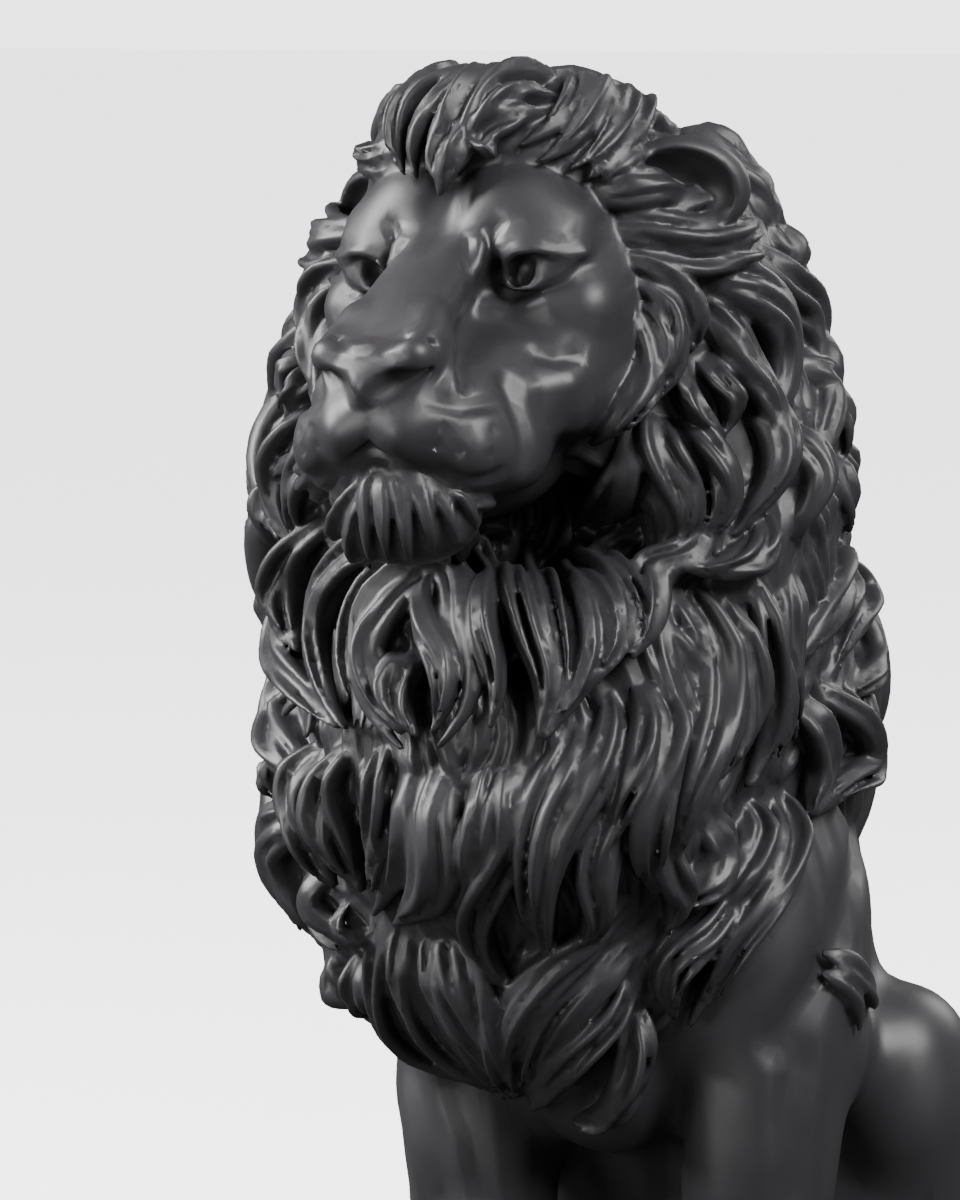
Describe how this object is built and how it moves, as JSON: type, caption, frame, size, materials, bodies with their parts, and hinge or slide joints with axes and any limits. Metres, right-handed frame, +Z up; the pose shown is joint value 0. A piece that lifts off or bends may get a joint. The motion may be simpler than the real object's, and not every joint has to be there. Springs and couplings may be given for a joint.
{
  "type": "porcelain lion figurine",
  "caption": "Seated male lion in matt black porcelain with a full carved mane, cast in one with a low rounded base, to stand on a shelf or table.",
  "frame": {"origin": "centre of the base's underside", "axes": "+Z up, the lion's chest faces -Y and its left side is +X"},
  "size_m": [0.2675, 0.3598, 0.5613],
  "materials": {
    "black_porcelain": null
  },
  "bodies": {
    "root": {"lion_figurine": "black_porcelain"}
  },
  "joints": []
}
